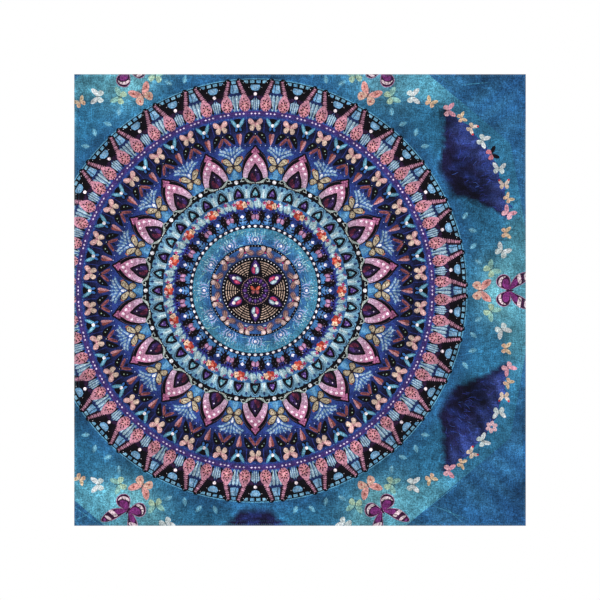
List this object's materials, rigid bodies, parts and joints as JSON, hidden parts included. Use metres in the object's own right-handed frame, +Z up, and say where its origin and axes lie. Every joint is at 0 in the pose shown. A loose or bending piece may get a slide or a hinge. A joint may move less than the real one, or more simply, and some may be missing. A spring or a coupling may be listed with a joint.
{
  "type": "tapestry wall hanging",
  "caption": "Square printed cloth wall hanging with a ringed mandala pattern, held flat by a hidden top rod on adhesive wall hooks and a hidden weight bar.",
  "frame": {"origin": "on the wall plane, midway between the two wall hooks, at the height of the rod's axis", "axes": "+Z up, +X to the right seen from the front; the wall is the plane y = 0 and the printed face looks towards -Y"},
  "size_m": [0.9, 0.0183, 0.9],
  "materials": {
    "printed_fabric": "matte printed weave",
    "hem_fabric": "matte, print showing through",
    "sleeve_fabric": "matte undyed weave",
    "label_fabric": "satin ribbon",
    "rod_steel": "drawn tube",
    "bar_steel": "rolled flat bar",
    "cap_plastic": "moulded",
    "hook_plastic": "moulded, glossy",
    "pad_foam": "closed-cell foam tape"
  },
  "bodies": {
    "wall_hooks": {"wall_hook_left": "hook_plastic", "wall_hook_right": "hook_plastic", "adhesive_pad_left": "pad_foam", "adhesive_pad_right": "pad_foam"},
    "hanging_rod": {"hanging_rod": "rod_steel", "rod_cap_left": "cap_plastic", "rod_cap_right": "cap_plastic"},
    "tapestry": {"printed_cloth": "printed_fabric", "top_hem": "hem_fabric", "bottom_hem": "hem_fabric", "left_hem": "hem_fabric", "right_hem": "hem_fabric", "care_label": "label_fabric", "rod_sleeve": "sleeve_fabric", "bar_sleeve": "sleeve_fabric"},
    "weight_bar": {"weight_bar": "bar_steel", "bar_cap_left": "cap_plastic", "bar_cap_right": "cap_plastic"}
  },
  "joints": [
    {"name": "rod_lift", "type": "slide", "parent": "wall_hooks", "child": "hanging_rod", "axis": [0, 0, 1], "range_m": [0, 0.02]},
    {"name": "cloth_swing", "type": "hinge", "parent": "hanging_rod", "child": "tapestry", "pos_m": [0, -0.01, 0], "axis": [-1, 0, 0], "range_deg": [0, 35]},
    {"name": "bar_slide", "type": "slide", "parent": "tapestry", "child": "weight_bar", "axis": [1, 0, 0], "range_m": [0, 0.8]}
  ]
}
